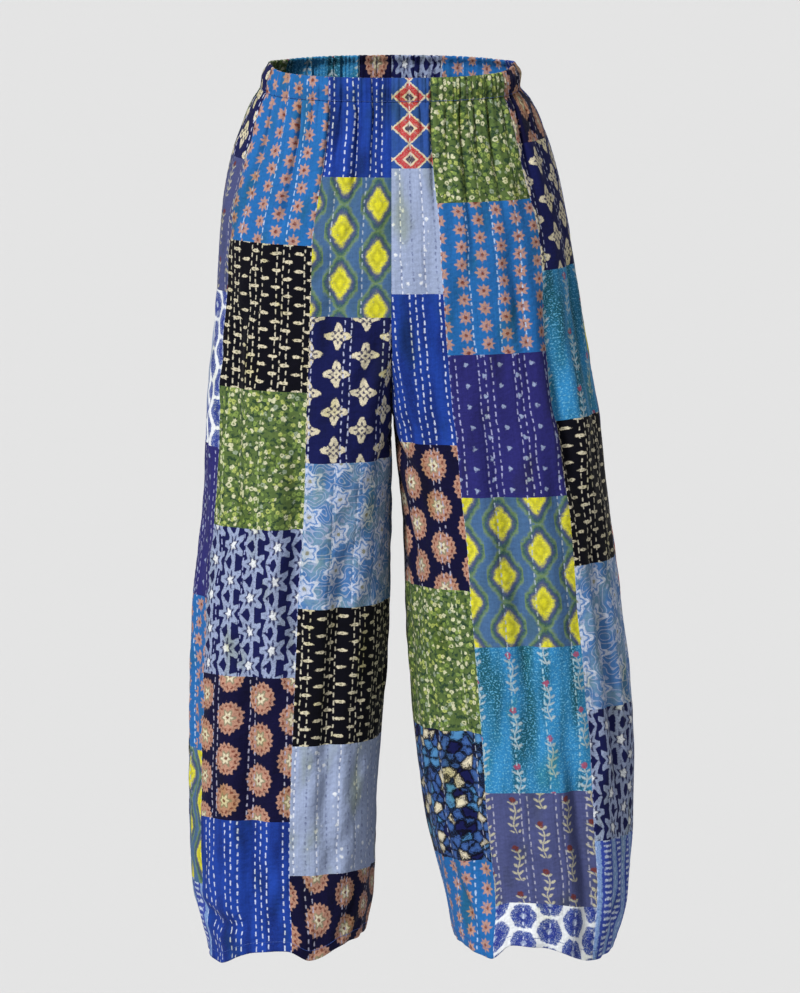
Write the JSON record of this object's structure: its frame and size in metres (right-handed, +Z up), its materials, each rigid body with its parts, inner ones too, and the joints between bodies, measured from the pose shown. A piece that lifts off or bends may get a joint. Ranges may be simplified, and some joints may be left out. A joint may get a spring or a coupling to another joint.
{
  "type": "palazzo pants",
  "caption": "Wide-leg pull-on trousers with an elastic waist, filled out as worn, in patchwork-printed cloth, hollow from the waist to the open hems.",
  "frame": {"origin": "the centre of the waist opening, halfway up the waistband, where the wearer holds the garment up", "axes": "+Z up through the waist opening, -Y towards the front of the garment, +X towards the wearer's left leg"},
  "size_m": [0.4888, 0.2765, 0.9842],
  "materials": {
    "front_left_cloth": "printed cotton, blue and green patchwork",
    "front_right_cloth": "printed cotton, navy and blue patchwork",
    "back_left_cloth": "printed cotton, blue patchwork",
    "back_right_cloth": "printed cotton, navy patchwork",
    "waistband_cloth": "printed cotton gathered over elastic"
  },
  "bodies": {
    "root": {"front_left": "front_left_cloth", "front_right": "front_right_cloth", "back_left": "back_left_cloth", "back_right": "back_right_cloth", "waistband": "waistband_cloth"}
  },
  "joints": []
}
